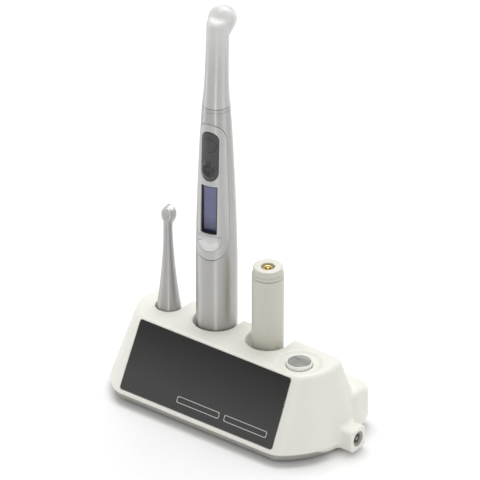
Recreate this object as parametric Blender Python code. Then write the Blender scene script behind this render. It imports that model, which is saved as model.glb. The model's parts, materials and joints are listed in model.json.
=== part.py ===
"""A cordless dental curing light on its charging stand, with a spare light tip and a spare battery.

Lengths are in millimetres up to mesh_object(), which makes metres of them. The stand's own frame has X along its
front, Y towards its back and Z up from the table. X = 0 is the middle of the front panel, and Y = 0 is the line
through the middle of the two large wells. The stand's empty moves that frame so that the whole object's footprint is
centred on the world's origin. The handpiece, the tips and the battery are modelled upright about their own axes.
"""

import math

import bmesh
import bpy
from mathutils import Matrix, Vector

MM = 0.001
GAP = 0.3  # between pieces that touch
ROUND = 28  # sides of a large round piece
SMALL_ROUND = 16

# Stand housing: each level's outline has a straight front and one arc at each end.
DECK_Z = 53.0
FOLD_Z = 8.0  # widest level, above the undercut
RIM_Z = 2.0  # lower edge of the undercut
UNDERCUT = 4.0
FRONT_Y = (-25.8, -49.0)  # at the deck and at the fold
END_CENTRE_X = (46.0, 33.6)
END_CENTRE_Y = (-2.5, -3.9)
END_RADIUS = (27.5, 53.3)
REAR_Y = (10.0, 20.0)
REAR_CORNER = 4.0
DECK_EDGE = 1.8
WALL = 2.2

# Lower housing behind the deck.
LOBE_HALF_X = 81.0
LOBE_Y = (4.0, 29.5)
LOBE_TOP_Z = 30.0
LOBE_CORNER = 9.0
LOBE_EDGE = 4.5

# Wells: centre x, centre y, radius.
HANDPIECE_WELL = (-19.6, 0.0, 14.3)
BATTERY_WELL = (20.6, 0.5, 13.8)
WELL_FLOOR_Z = 27.0
TIP_WELL = (-54.0, -3.7, 8.7)
TIP_SEAT_Z = 43.5
TIP_HOLE_R = 5.3
TIP_HOLE_FLOOR_Z = 31.0
WELL_WALL = 1.8
NOTCH_Z = 34.5  # the wells are open at the back above this
STUD_HOLE_R = 2.3
STUD_OFFSET = 6.6  # of the outer charging stud from the well's axis

# Front panel, in the front plane.
PANEL_HALF_TOP = 58.6
PANEL_HALF_BOTTOM = 59.4
PANEL_Z = (10.8, 51.3)
PANEL_THICK = 0.8

# Light meter on the deck.
METER = (53.0, -10.0)
METER_DISH_R = (11.8, 15.5)  # of its flat floor and of its rim
METER_DISH_DEPTH = 1.6
METER_RING_R = 8.15
METER_WINDOW_R = 7.1
METER_TOP_Z = DECK_Z + 0.9

# Power inlet on the right-hand end.
JACK_Y = -3.5
JACK_Z = 9.6
JACK_FACE_X = 94.0
JACK_BOSS_HALF = (7.3, 7.5)
JACK_BOSS_Z = 9.3
JACK_BOSS_CORNER = 3.2
JACK_BOSS_EDGE = 0.8
JACK_R = 4.6
JACK_BORE_R = 3.1
JACK_DEPTH = 10.0

# Bottom cover, its screws and feet.
COVER_INSET = 8.2
COVER_Z = (2.0, 4.0)
COVER_REAR_Y = 22.0
POSTS = [(-60.0, -34.0), (60.0, -34.0), (-64.0, 15.0), (64.0, 15.0)]
POST_R = 3.6
SCREW_R = 1.1
SCREW_HEAD_R = 2.7
FEET = [(-50.0, -35.0), (50.0, -35.0), (-50.0, 14.0), (50.0, 14.0)]
FOOT_R = 5.0

# Handpiece, from its lower end up.
HANDPIECE_AXIS = (-19.1, 0.3)
HANDPIECE_FACING = 11.0  # degrees that its controls turn from the stand's front towards +X
BARREL_R = 13.0
TAPER_FROM = 72.0
TAPER = (0.01755, 0.0002065)  # radius lost per mm and per mm squared above that
BARREL_WALL = 2.2
BARREL_Z = (3.3, 176.4)
TRIM_Z = (176.7, 178.7)
TIP_Z = 179.0  # seam between handpiece and tip
FASCIA_Z = (75.0, 168.9)
FASCIA_HALF_ANGLE = 67.0
FASCIA_ROUND = (14.8, 11.6)  # at the lower and the upper end
PAD_Z = (130.2, 163.5)
PAD_HALF = 6.2
DISPLAY_Z = (93.5, 126.2)
DISPLAY_HALF = 5.7
THUMB_Z = (81.2, 92.0)
THUMB_HALF = 8.6
THUMB_ROUND = (8.0, 0.0)
BUTTONS = {"activation_button": (154.6, 4.5, 0.8), "mode_button": (137.6, 4.0, 0.6)}  # height, radius, proud

# Spare battery.
BATTERY_R = 10.0
BATTERY_LENGTH = 78.0
CELL_R = 9.1
CELL_LENGTH = 65.0
BATTERY_CAP = 6.4
BATTERY_NECK_R = 9.1
BATTERY_NECK = 4.3
CONTACT_RECESS_R = 4.3
CONTACT_RECESS = 2.2

# The whole object's box is centred on the origin.
FOOTPRINT_CENTRE = ((JACK_FACE_X - END_CENTRE_X[1] - END_RADIUS[1]) / 2, (FRONT_Y[1] + LOBE_Y[1]) / 2)

COLOURS = {
    "shell_plastic": ((0.83, 0.82, 0.76), 0.35, 0.0),
    "panel": ((0.03, 0.029, 0.028), 0.22, 0.0),
    "silver_paint": ((0.50, 0.50, 0.48), 0.32, 0.55),
    "fascia_paint": ((0.62, 0.62, 0.61), 0.30, 0.45),
    "tip_plastic": ((0.55, 0.55, 0.53), 0.30, 0.35),
    "battery_plastic": ((0.62, 0.61, 0.54), 0.42, 0.0),
    "dark_rubber": ((0.05, 0.05, 0.052), 0.5, 0.0),
    "white_plastic": ((0.85, 0.85, 0.83), 0.3, 0.0),
    "grey_glass": ((0.16, 0.16, 0.15), 0.12, 0.0),
    "display_glass": ((0.10, 0.10, 0.24), 0.08, 0.0),
    "gold": ((0.85, 0.62, 0.25), 0.2, 1.0),
    "steel": ((0.55, 0.55, 0.56), 0.3, 1.0),
    "circuit_board": ((0.03, 0.18, 0.07), 0.5, 0.0),
    "cell_wrap": ((0.10, 0.22, 0.45), 0.35, 0.0),
    "lens_glass": ((0.75, 0.78, 0.80), 0.05, 0.0),
}


def clear_scene():
    for obj in list(bpy.data.objects):
        bpy.data.objects.remove(obj, do_unlink=True)


def material(name):
    found = bpy.data.materials.get(name)
    if found:
        return found
    colour, roughness, metallic = COLOURS[name]
    made = bpy.data.materials.new(name)
    made.use_nodes = True
    shader = made.node_tree.nodes["Principled BSDF"]
    shader.inputs["Base Color"].default_value = (*colour, 1.0)
    shader.inputs["Roughness"].default_value = roughness
    shader.inputs["Metallic"].default_value = metallic
    made.diffuse_color = (*colour, 1.0)
    return made


def empty(name, location=(0, 0, 0), turn=0.0, parent=None):
    made = bpy.data.objects.new(name, None)
    made.location = Vector(location) * MM
    made.rotation_euler.z = math.radians(turn)
    made.parent = parent
    bpy.context.scene.collection.objects.link(made)
    return made


def mesh_object(name, bm, slot, parent=None, location=(0, 0, 0)):
    """An object from a bmesh in millimetres, with its faces pointing out."""
    bmesh.ops.recalc_face_normals(bm, faces=bm.faces)
    bm.transform(Matrix.Scale(MM, 4))
    mesh = bpy.data.meshes.new(name)
    bm.to_mesh(mesh)
    bm.free()
    mesh.materials.append(material(slot))
    made = bpy.data.objects.new(name, mesh)
    made.location = Vector(location) * MM
    made.parent = parent
    bpy.context.scene.collection.objects.link(made)
    return made


def loft(rings):
    """A closed solid through outlines that have the same number of points."""
    bm = bmesh.new()
    rows = [[bm.verts.new(point) for point in ring] for ring in rings]
    count = len(rows[0])
    for low, high in zip(rows, rows[1:]):
        for i in range(count):
            j = (i + 1) % count
            bm.faces.new((low[i], low[j], high[j], high[i]))
    bm.faces.new(reversed(rows[0]))
    bm.faces.new(rows[-1])
    return bm


def turned(profile, sides=ROUND, ring=False):
    """A solid turned about Z from (radius, height) pairs. A ring's profile is a closed loop clear of the axis."""
    bm = bmesh.new()
    rows = []
    for radius, height in profile:
        if radius == 0:
            rows.append([bm.verts.new((0, 0, height))])
            continue
        angles = [2 * math.pi * i / sides for i in range(sides)]
        rows.append([bm.verts.new((radius * math.cos(a), radius * math.sin(a), height)) for a in angles])
    pairs = list(zip(rows, rows[1:])) + ([(rows[-1], rows[0])] if ring else [])
    for first, second in pairs:
        for i in range(sides):
            j = (i + 1) % sides
            corners = [first[i % len(first)], first[j % len(first)], second[j % len(second)], second[i % len(second)]]
            bm.faces.new(list(dict.fromkeys(corners)))
    return bm


def solid_disc(radius, low, high, sides=ROUND):
    return turned([(0, low), (radius, low), (radius, high), (0, high)], sides)


def tube(inner, outer, low, high, sides=ROUND):
    return turned([(outer, high), (outer, low), (inner, low), (inner, high)], sides, ring=True)


def block(low, high):
    corners = [(low[0], low[1]), (high[0], low[1]), (high[0], high[1]), (low[0], high[1])]
    return loft([[(x, y, z) for x, y in corners] for z in (low[2], high[2])])


def aimed(bm, direction, at):
    """Turns a solid made about Z so that its axis points along direction, and moves it to a place."""
    turn = Vector(direction).to_track_quat("Z", "Y").to_matrix().to_4x4()
    bm.transform(Matrix.Translation(Vector(at)) @ turn)
    return bm


def combine(target, other, operation):
    """Applies one Boolean to target and removes the other object."""
    modifier = target.modifiers.new("combine", "BOOLEAN")
    modifier.operation = operation
    modifier.object = other
    modifier.solver = "EXACT"
    bpy.context.view_layer.update()
    graph = bpy.context.evaluated_depsgraph_get()
    made = bpy.data.meshes.new_from_object(target.evaluated_get(graph))
    target.modifiers.clear()
    target.data = made
    bpy.data.objects.remove(other, do_unlink=True)
    return target


def cut(target, bm, location=(0, 0, 0)):
    parent = target.parent
    return combine(target, mesh_object("cutter", bm, "shell_plastic", parent, location), "DIFFERENCE")


def join(target, bm, location=(0, 0, 0)):
    parent = target.parent
    return combine(target, mesh_object("addition", bm, "shell_plastic", parent, location), "UNION")


def smooth(obj, angle=35.0):
    obj.data.shade_smooth()
    obj.data.set_sharp_from_angle(angle=math.radians(angle))
    return obj


def arc(centre, radius, start, end, steps):
    """Points on an arc from one angle to another, in degrees, both ends included."""
    angles = [math.radians(start + (end - start) * i / steps) for i in range(steps + 1)]
    return [(centre[0] + radius * math.cos(a), centre[1] + radius * math.sin(a)) for a in angles]


def between(pair, share):
    return pair[0] + (pair[1] - pair[0]) * share


def stand_outline(z, inset=0.0, rear=None):
    """The housing's outline at a height, as points round from the front left to the front right and back."""
    share = (DECK_Z - max(z, FOLD_Z)) / (DECK_Z - FOLD_Z)
    centre = (between(END_CENTRE_X, share), between(END_CENTRE_Y, share))
    radius = between(END_RADIUS, share) - inset
    front = between(FRONT_Y, share) + inset
    back = (between(REAR_Y, share) if rear is None else rear) - inset
    corner = REAR_CORNER
    first = math.degrees(math.asin((front - centre[1]) / radius))
    last = math.degrees(math.asin((back - corner - centre[1]) / radius))
    end = arc(centre, radius, first, last, 9)
    tip_x, tip_y = end[-1]
    rounded = arc((tip_x - corner, tip_y), corner, 0, 90, 3)[1:]
    right = end + rounded
    return right + [(-x, y) for x, y in reversed(right)]


def stand_body(inset=0.0, floor=RIM_Z, top=DECK_Z):
    """The main body as a solid, or its inner space when inset."""
    levels = []
    if inset == 0:
        levels += [(RIM_Z, UNDERCUT), (FOLD_Z - 0.8, 0.3), (FOLD_Z, 0.0)]
    else:
        levels += [(floor, UNDERCUT + inset), (RIM_Z, UNDERCUT + inset), (FOLD_Z, inset)]
    levels.append((30.0, inset))
    if inset == 0:
        for step in range(4):
            angle = math.radians(90 * step / 3)
            levels.append((top - DECK_EDGE * (1 - math.sin(angle)), DECK_EDGE * (1 - math.cos(angle))))
    else:
        levels.append((top, inset))
    return loft([[(x, y, z) for x, y in stand_outline(z, d)] for z, d in levels])


def lobe_outline(inset):
    """The lower rear housing's outline: a rectangle with four round corners."""
    half = LOBE_HALF_X - inset
    low, high = LOBE_Y[0] + inset, LOBE_Y[1] - inset
    r = max(LOBE_CORNER - inset, 1.0)
    right = arc((half - r, low + r), r, -90, 0, 4) + arc((half - r, high - r), r, 0, 90, 4)
    return right + [(-x, y) for x, y in reversed(right)]


def lobe_body(inset=0.0, floor=RIM_Z):
    if inset:
        levels = [(floor, inset + UNDERCUT), (RIM_Z, inset + UNDERCUT), (FOLD_Z, inset), (LOBE_TOP_Z - inset, inset)]
    else:
        levels = [(RIM_Z, UNDERCUT), (FOLD_Z - 0.8, 0.3), (FOLD_Z, 0.0)]
        for step in range(5):
            angle = math.radians(90 * step / 4)
            levels.append((LOBE_TOP_Z - LOBE_EDGE * (1 - math.sin(angle)), LOBE_EDGE * (1 - math.cos(angle))))
    return loft([[(x, y, z) for x, y in lobe_outline(d)] for z, d in levels])


def notch_outline(well, grow=0.0, back=12.0):
    """A well that is round in front and runs straight back."""
    x, y, r = well[0], well[1], well[2] + grow
    return arc((x, y), r, 180, 360, 16) + [(x + r, back), (x - r, back)]


def notch(well, low, high, grow=0.0, back=12.0):
    return loft([[(x, y, z) for x, y in notch_outline(well, grow, back)] for z in (low, high)])


def front_plane_y(z):
    return between(FRONT_Y, (DECK_Z - z) / (DECK_Z - FOLD_Z))


def panel_slab(grow, out, depth):
    """A slab lying in the front plane: grown outline, from out in front of the plane to depth behind it."""
    slope = math.atan2(FRONT_Y[0] - FRONT_Y[1], DECK_Z - FOLD_Z)
    normal = Vector((0, -math.cos(slope), math.sin(slope)))
    upward = Vector((0, math.sin(slope), math.cos(slope)))
    low_z, high_z = PANEL_Z
    r = 1.2 + grow
    bottom = Vector((0, front_plane_y(low_z), low_z)) - upward * grow
    height = (high_z - low_z) / math.cos(slope) + 2 * grow
    wide, narrow = PANEL_HALF_BOTTOM + grow, PANEL_HALF_TOP + grow
    outline = arc((wide - r, r), r, -90, 0, 3) + arc((narrow - r, height - r), r, 0, 90, 3)
    outline += [(-x, y) for x, y in reversed(outline)]
    rings = []
    for offset in (-depth, out):
        rings.append([tuple(bottom + Vector((x, 0, 0)) + upward * y + normal * offset) for x, y in outline])
    return loft(rings)


def jack_boss():
    """The block round the power inlet: a rectangle with round corners in YZ, from inside the end out to its face."""
    edge, face = JACK_BOSS_EDGE, JACK_FACE_X
    levels = ((60.0, 0.0), (face - edge, 0.0), (face - edge * 0.3, edge * 0.3), (face, edge))
    rings = []
    for x, inset in levels:
        r = JACK_BOSS_CORNER - inset
        wide_by, tall_by = (half - inset - r for half in JACK_BOSS_HALF)
        outline = []
        for start, side, rise in ((0, 1, 1), (90, -1, 1), (180, -1, -1), (270, 1, -1)):
            outline += arc((JACK_Y + side * wide_by, JACK_BOSS_Z + rise * tall_by), r, start, start + 90, 4)
        rings.append([(x, y, z) for y, z in outline])
    return loft(rings)


def make_housing(stand):
    housing = mesh_object("base_housing", stand_body(), "shell_plastic", stand)
    join(housing, lobe_body())
    join(housing, jack_boss())

    hollow = mesh_object("hollow", stand_body(WALL, -5.0, DECK_Z - WALL), "shell_plastic", stand)
    join(hollow, lobe_body(WALL, -5.0))
    for well in (HANDPIECE_WELL, BATTERY_WELL):
        cut(hollow, solid_disc(well[2] + WELL_WALL, WELL_FLOOR_Z - WELL_WALL, 60), (well[0], well[1], 0))
        cut(hollow, notch(well, NOTCH_Z - WELL_WALL - 1.0, 60, WELL_WALL, 18.0))
    cut(hollow, notch(TIP_WELL, NOTCH_Z - WELL_WALL - 1.0, 60, WELL_WALL, 18.0))
    cut(hollow, solid_disc(TIP_HOLE_R + WELL_WALL, TIP_HOLE_FLOOR_Z - WELL_WALL, 60, 28), (*TIP_WELL[:2], 0))
    for x, y in POSTS:
        cut(hollow, solid_disc(POST_R, COVER_Z[1] + GAP, 60, 16), (x, y, 0))
    combine(housing, hollow, "DIFFERENCE")

    for well in (HANDPIECE_WELL, BATTERY_WELL):
        x, y, r = well
        cut(housing, solid_disc(r, WELL_FLOOR_Z, 60), (x, y, 0))
        cut(housing, notch(well, NOTCH_Z, 60, -0.02, 40.0))
        for offset in (0, STUD_OFFSET):
            cut(housing, solid_disc(STUD_HOLE_R, 20, 30, 16), (x, y + offset, 0))
    cut(housing, notch(TIP_WELL, TIP_SEAT_Z, 60, 0.0, 40.0))
    cut(housing, solid_disc(TIP_HOLE_R, TIP_HOLE_FLOOR_Z, 60, 28), (*TIP_WELL[:2], 0))

    floor_r, rim_r = METER_DISH_R
    dish = [(0, DECK_Z + 1.0), (rim_r + 0.01, DECK_Z + 1.0), (rim_r, DECK_Z)]
    for share, depth in ((0.75, 0.16), (0.5, 0.5), (0.25, 0.84), (0.0, 1.0)):
        dish.append((between(METER_DISH_R, share), DECK_Z - METER_DISH_DEPTH * depth))
    dish.append((0, DECK_Z - METER_DISH_DEPTH))
    cut(housing, turned(dish), (*METER, 0))
    cut(housing, solid_disc(METER_RING_R + GAP, 40, 60), (*METER, 0))
    cut(housing, panel_slab(0.25, 3.0, PANEL_THICK + GAP))
    cut(housing, aimed(solid_disc(JACK_R + GAP, 74, 100, 28), (1, 0, 0), (0, JACK_Y, JACK_Z)))
    for x, y in POSTS:
        cut(housing, solid_disc(SCREW_R + GAP, 0, 14, 12), (x, y, 0))
    smooth(housing)


def make_cover(stand):
    outline = stand_outline(FOLD_Z, COVER_INSET, COVER_REAR_Y + COVER_INSET)
    rings = [[(x, y, z) for x, y in outline] for z in COVER_Z]
    cover = mesh_object("bottom_cover", loft(rings), "shell_plastic", stand)
    for x, y in POSTS:
        cut(cover, solid_disc(SCREW_R + GAP, 0, 6, 12), (x, y, 0))
        cut(cover, solid_disc(SCREW_HEAD_R + GAP, 0, COVER_Z[0] + 1.2, 16), (x, y, 0))
    smooth(cover)
    for number, (x, y) in enumerate(POSTS, 1):
        head, under, end = COVER_Z[0], COVER_Z[0] + 0.9, 12.0
        profile = [(0, end), (SCREW_R, end - 0.8), (SCREW_R, under), (SCREW_HEAD_R, under),
                   (SCREW_HEAD_R - 0.4, head), (0, head)]
        smooth(mesh_object(f"cover_screw_{number}", turned(profile, 14), "steel", stand, (x, y, 0)))
    for number, (x, y) in enumerate(FEET, 1):
        top = COVER_Z[0] - GAP
        profile = [(0, top), (FOOT_R, top), (FOOT_R, 0.4), (FOOT_R - 0.5, 0), (0, 0)]
        smooth(mesh_object(f"rubber_foot_{number}", turned(profile, 20), "dark_rubber", stand, (x, y, 0)))


def make_meter(stand):
    """Light meter: a ring whose flange sits under the deck, a window in it and a sensor below."""
    flange_z = DECK_Z - WALL - GAP
    seat_z = METER_TOP_Z - 1.5
    inner, window = METER_WINDOW_R + GAP, METER_WINDOW_R
    shelf = window - 1.5
    profile = [(inner, METER_TOP_Z), (METER_RING_R - 0.25, METER_TOP_Z), (METER_RING_R, METER_TOP_Z - 0.3),
               (METER_RING_R, flange_z), (METER_RING_R + 2.2, flange_z), (METER_RING_R + 2.2, flange_z - 1.4),
               (shelf, flange_z - 1.4), (shelf, seat_z), (inner, seat_z)]
    smooth(mesh_object("meter_ring", turned(profile, ring=True), "white_plastic", stand, (*METER, 0)))
    low = seat_z + GAP
    smooth(mesh_object("meter_window", solid_disc(window, low, low + 1.0), "grey_glass", stand, (*METER, 0)))
    sensor_top = seat_z - 1.0
    mesh_object("meter_sensor", block((METER[0] - 3, METER[1] - 3, sensor_top - 1.6),
                                      (METER[0] + 3, METER[1] + 3, sensor_top)), "circuit_board", stand)


def make_jack(stand):
    """Power inlet: a dark cup with a round mouth, and a centre pin that stands in it."""
    face, back = JACK_FACE_X - 0.8, JACK_FACE_X - 0.8 - JACK_DEPTH
    profile = [(JACK_BORE_R, face), (JACK_R, face), (JACK_R, back), (1.1 + GAP, back), (1.1 + GAP, back + 2),
               (JACK_BORE_R, back + 2)]
    cup = aimed(turned(profile, 28, ring=True), (1, 0, 0), (0, JACK_Y, JACK_Z))
    smooth(mesh_object("jack_shell", cup, "dark_rubber", stand))
    pin = turned([(0, face - 1.0), (0.7, face - 1.0), (1.1, face - 1.6), (1.1, back - 2), (0, back - 2)], 14)
    smooth(mesh_object("jack_pin", aimed(pin, (1, 0, 0), (0, JACK_Y, JACK_Z)), "steel", stand))


def make_charger(stand):
    """Circuit board under the wells, the charging studs that stand on it, and the battery's locating ring."""
    board_top = 17.6
    mesh_object("charger_board", block((-46, -16, board_top - 1.6), (46, 17, board_top)), "circuit_board", stand)
    floor = WELL_FLOOR_Z
    stud = [(0, floor + 0.9), (0.9, floor + 0.8), (1.7, floor + 0.2), (1.9, floor - 0.5), (1.9, floor - 2.6),
            (3.0, floor - 2.6), (3.0, board_top + GAP), (0, board_top + GAP)]
    for owner, well in (("handpiece", HANDPIECE_WELL), ("battery", BATTERY_WELL)):
        for number, offset in enumerate((0, STUD_OFFSET), 1):
            place = (well[0], well[1] + offset, 0)
            name = f"{owner}_charge_stud_{number}"
            smooth(mesh_object(name, turned(stud, 16), "gold", stand, place))
    x, y, r = BATTERY_WELL
    low = floor + 1.4
    profile = [(BATTERY_R + 0.4, low), (BATTERY_R + 0.4, low + 5), (BATTERY_R + 1.2, low + 6), (r - GAP, low + 6),
               (r - GAP, low)]
    smooth(mesh_object("battery_locating_ring", turned(profile, ring=True), "shell_plastic", stand, (x, y, 0)))


def barrel_radius(z):
    above = max(0.0, z - TAPER_FROM)
    return BARREL_R - TAPER[0] * above - TAPER[1] * above**2


def face_patch(span, half_angle, out, depth, rounds=(0.0, 0.0), steps=10, levels=6):
    """A curved plate on the barrel's front.

    span holds its lowest and highest points, and half_angle is a function of height. The plate runs from out above the
    barrel's surface to depth below it. rounds says over what height its lower and upper ends are rounded.
    """
    low, high = span
    low_round, high_round = rounds
    straight = high - high_round - low - low_round
    heights = [low + low_round + straight * i / levels for i in range(levels + 1)]
    bow = [1 - math.cos(math.radians(a)) for a in (14, 30, 50, 70)]
    if low_round:
        heights = [low + low_round * b for b in bow] + heights
    if high_round:
        heights += [high - high_round * b for b in reversed(bow)]
    rings = []
    for z in heights:
        share = 1.0
        for near, reach in ((z - low, low_round), (high - z, high_round)):
            if near < reach:
                share = math.sqrt(1 - ((reach - near) / reach) ** 2)
        widest = half_angle(z) * share
        angles = [math.radians(-90 - widest + 2 * widest * i / steps) for i in range(steps + 1)]
        outer, inner = barrel_radius(z) + out, barrel_radius(z) - depth
        ring = [(outer * math.cos(a), outer * math.sin(a), z) for a in angles]
        ring += [(inner * math.cos(a), inner * math.sin(a), z) for a in reversed(angles)]
        rings.append(ring)
    return loft(rings)


def grown(span, gap):
    return (span[0] - gap, span[1] + gap)


def rounder(rounds, gap):
    return tuple(r + gap if r else 0.0 for r in rounds)


def wide(angle):
    return lambda z: angle


def as_wide_as(half_width):
    """The half angle that keeps a plate's half width the same up the tapering barrel."""
    return lambda z: math.degrees(math.asin(half_width / barrel_radius(z)))


def make_handpiece(body):
    heights = [BARREL_Z[0], TAPER_FROM] + [TAPER_FROM + 13.0 * i for i in range(1, 8)] + [BARREL_Z[1]]
    outer = [(barrel_radius(z), z) for z in reversed(heights)]
    inner = [(barrel_radius(z) - BARREL_WALL, z) for z in heights[:2] + heights[4::3]]
    barrel = mesh_object("handpiece_barrel", turned(outer + inner, ring=True), "silver_paint", body)
    angle_gap = math.degrees(GAP / barrel_radius(FASCIA_Z[1]))
    opening = face_patch(grown(FASCIA_Z, GAP), wide(FASCIA_HALF_ANGLE + angle_gap), 3, 4, rounder(FASCIA_ROUND, GAP))
    cut(barrel, opening)
    smooth(barrel)

    plate = face_patch(FASCIA_Z, wide(FASCIA_HALF_ANGLE), 0.1, 1.9, FASCIA_ROUND, 12, 5)
    fascia = mesh_object("fascia", plate, "fascia_paint", body)
    pad_round = (PAD_HALF, PAD_HALF)
    for span, half, rounds in ((PAD_Z, PAD_HALF, pad_round), (DISPLAY_Z, DISPLAY_HALF, (0, 0)),
                               (THUMB_Z, THUMB_HALF, THUMB_ROUND)):
        cut(fascia, face_patch(grown(span, GAP), as_wide_as(half + GAP), 3, 4, rounder(rounds, GAP)))
    smooth(fascia)

    plate = face_patch(PAD_Z, as_wide_as(PAD_HALF), 0.3, 1.6, pad_round, 8, 4)
    pad = mesh_object("button_pad", plate, "dark_rubber", body)
    for z, r, _ in BUTTONS.values():
        cut(pad, aimed(solid_disc(r + GAP, 4, 20, 20), (0, -1, 0), (0, 0, z)))
    smooth(pad)
    for name, (z, r, proud) in BUTTONS.items():
        face = barrel_radius(z) + proud
        dish = 0.5 if name == "mode_button" else -0.5
        profile = [(0, face - dish), (r * 0.6, face - dish * 0.5), (r - 0.5, face), (r, face - 0.5), (r, face - 2.6),
                   (1.6, face - 2.6), (1.6, 5.0), (0, 5.0)]
        button = mesh_object(name, turned(profile, 20), "dark_rubber", body, (0, 0, z))
        button.rotation_euler.x = math.radians(90)
        smooth(button)

    window = face_patch(DISPLAY_Z, as_wide_as(DISPLAY_HALF), -0.5, 1.6, steps=8, levels=3)
    smooth(mesh_object("display_window", window, "display_glass", body))
    mesh_object("display_module", block((-5.0, -8.2, DISPLAY_Z[0] + 1), (5.0, -6.0, DISPLAY_Z[1] - 1)),
                "circuit_board", body)
    plate = face_patch(THUMB_Z, as_wide_as(THUMB_HALF), -0.1, 1.9, THUMB_ROUND, levels=4)
    thumb = mesh_object("thumb_rest", plate, "white_plastic", body)
    scoop_z = (THUMB_Z[0] + THUMB_Z[1]) / 2 + 1.0
    scoop_r = 16.0
    scoop_y = -(barrel_radius(scoop_z) + scoop_r - 1.0)
    cut(thumb, aimed(solid_disc(scoop_r, -30, 30, 48), (1, 0, 0), (0, scoop_y, scoop_z)))
    smooth(thumb)

    top = barrel_radius(TRIM_Z[0])
    trim = [(top, TRIM_Z[1] - 0.2), (top, TRIM_Z[0]), (6.9, TRIM_Z[0]), (6.9, TRIM_Z[1]), (top - 0.2, TRIM_Z[1])]
    smooth(mesh_object("trim_ring", turned(trim, ring=True), "silver_paint", body))
    socket = tube(5.3, 6.5, 164.0, TRIM_Z[1], 28)
    smooth(mesh_object("tip_socket", socket, "dark_rubber", body))
    mesh_object("handpiece_board", block((-5.5, -3.6, 82), (5.5, -2.4, 160)), "circuit_board", body)
    cell = turned([(0, 6.0 + CELL_LENGTH), (3, 6.0 + CELL_LENGTH), (3, 5.0 + CELL_LENGTH), (CELL_R, 5.0 + CELL_LENGTH),
                   (CELL_R, 6.0), (0, 6.0)], 28)
    smooth(mesh_object("handpiece_cell", cell, "cell_wrap", body))
    cap = [(BARREL_R, BARREL_Z[0] - GAP), (BARREL_R, 1.2), (BARREL_R - 1.2, 0), (10.2, 0), (10.2, 1.3), (3.6, 1.3),
           (3.6, 0), (3.2, 0), (3.2, BARREL_Z[0] - GAP)]
    smooth(mesh_object("end_cap", turned(cap, ring=True), "silver_paint", body))
    contact = [(0, BARREL_Z[0] + 1.5), (2.8, BARREL_Z[0] + 1.5), (2.8, 1.2), (0, 1.2)]
    smooth(mesh_object("end_contact", turned(contact, SMALL_ROUND), "gold", body))


def lean_back(bm, head, base_z):
    """Moves a stem's points back, from nothing at its base to the head's lean at the height of the head."""
    for vert in bm.verts:
        share = max(0.0, (vert.co.z - base_z) / (head["z"] - base_z))
        vert.co.y += head["lean"] * share**1.2
    return bm


def gusset(neck_r, neck_z, head):
    """The flare on the back of a stem, from the neck up to the underside of the head."""
    low, high = neck_z - 1.6 * head["radius"], head["z"] - 0.6 * head["radius"]
    widths, backs = (neck_r * 0.85, head["radius"] * 0.5), (neck_r * 0.9, head["back"] * 0.8)
    front = -neck_r * 0.6
    levels = []
    for share in (0.0, 0.3, 0.6, 0.85, 1.0):
        back = between(backs, share**1.8)
        levels.append((low + (high - low) * share, between(widths, share), (front + back) / 2, (back - front) / 2))
    angles = [math.radians(360 * i / 16) for i in range(16)]
    return loft([[(w * math.cos(a), y + d * math.sin(a), z) for a in angles] for z, w, y, d in levels])


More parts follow.
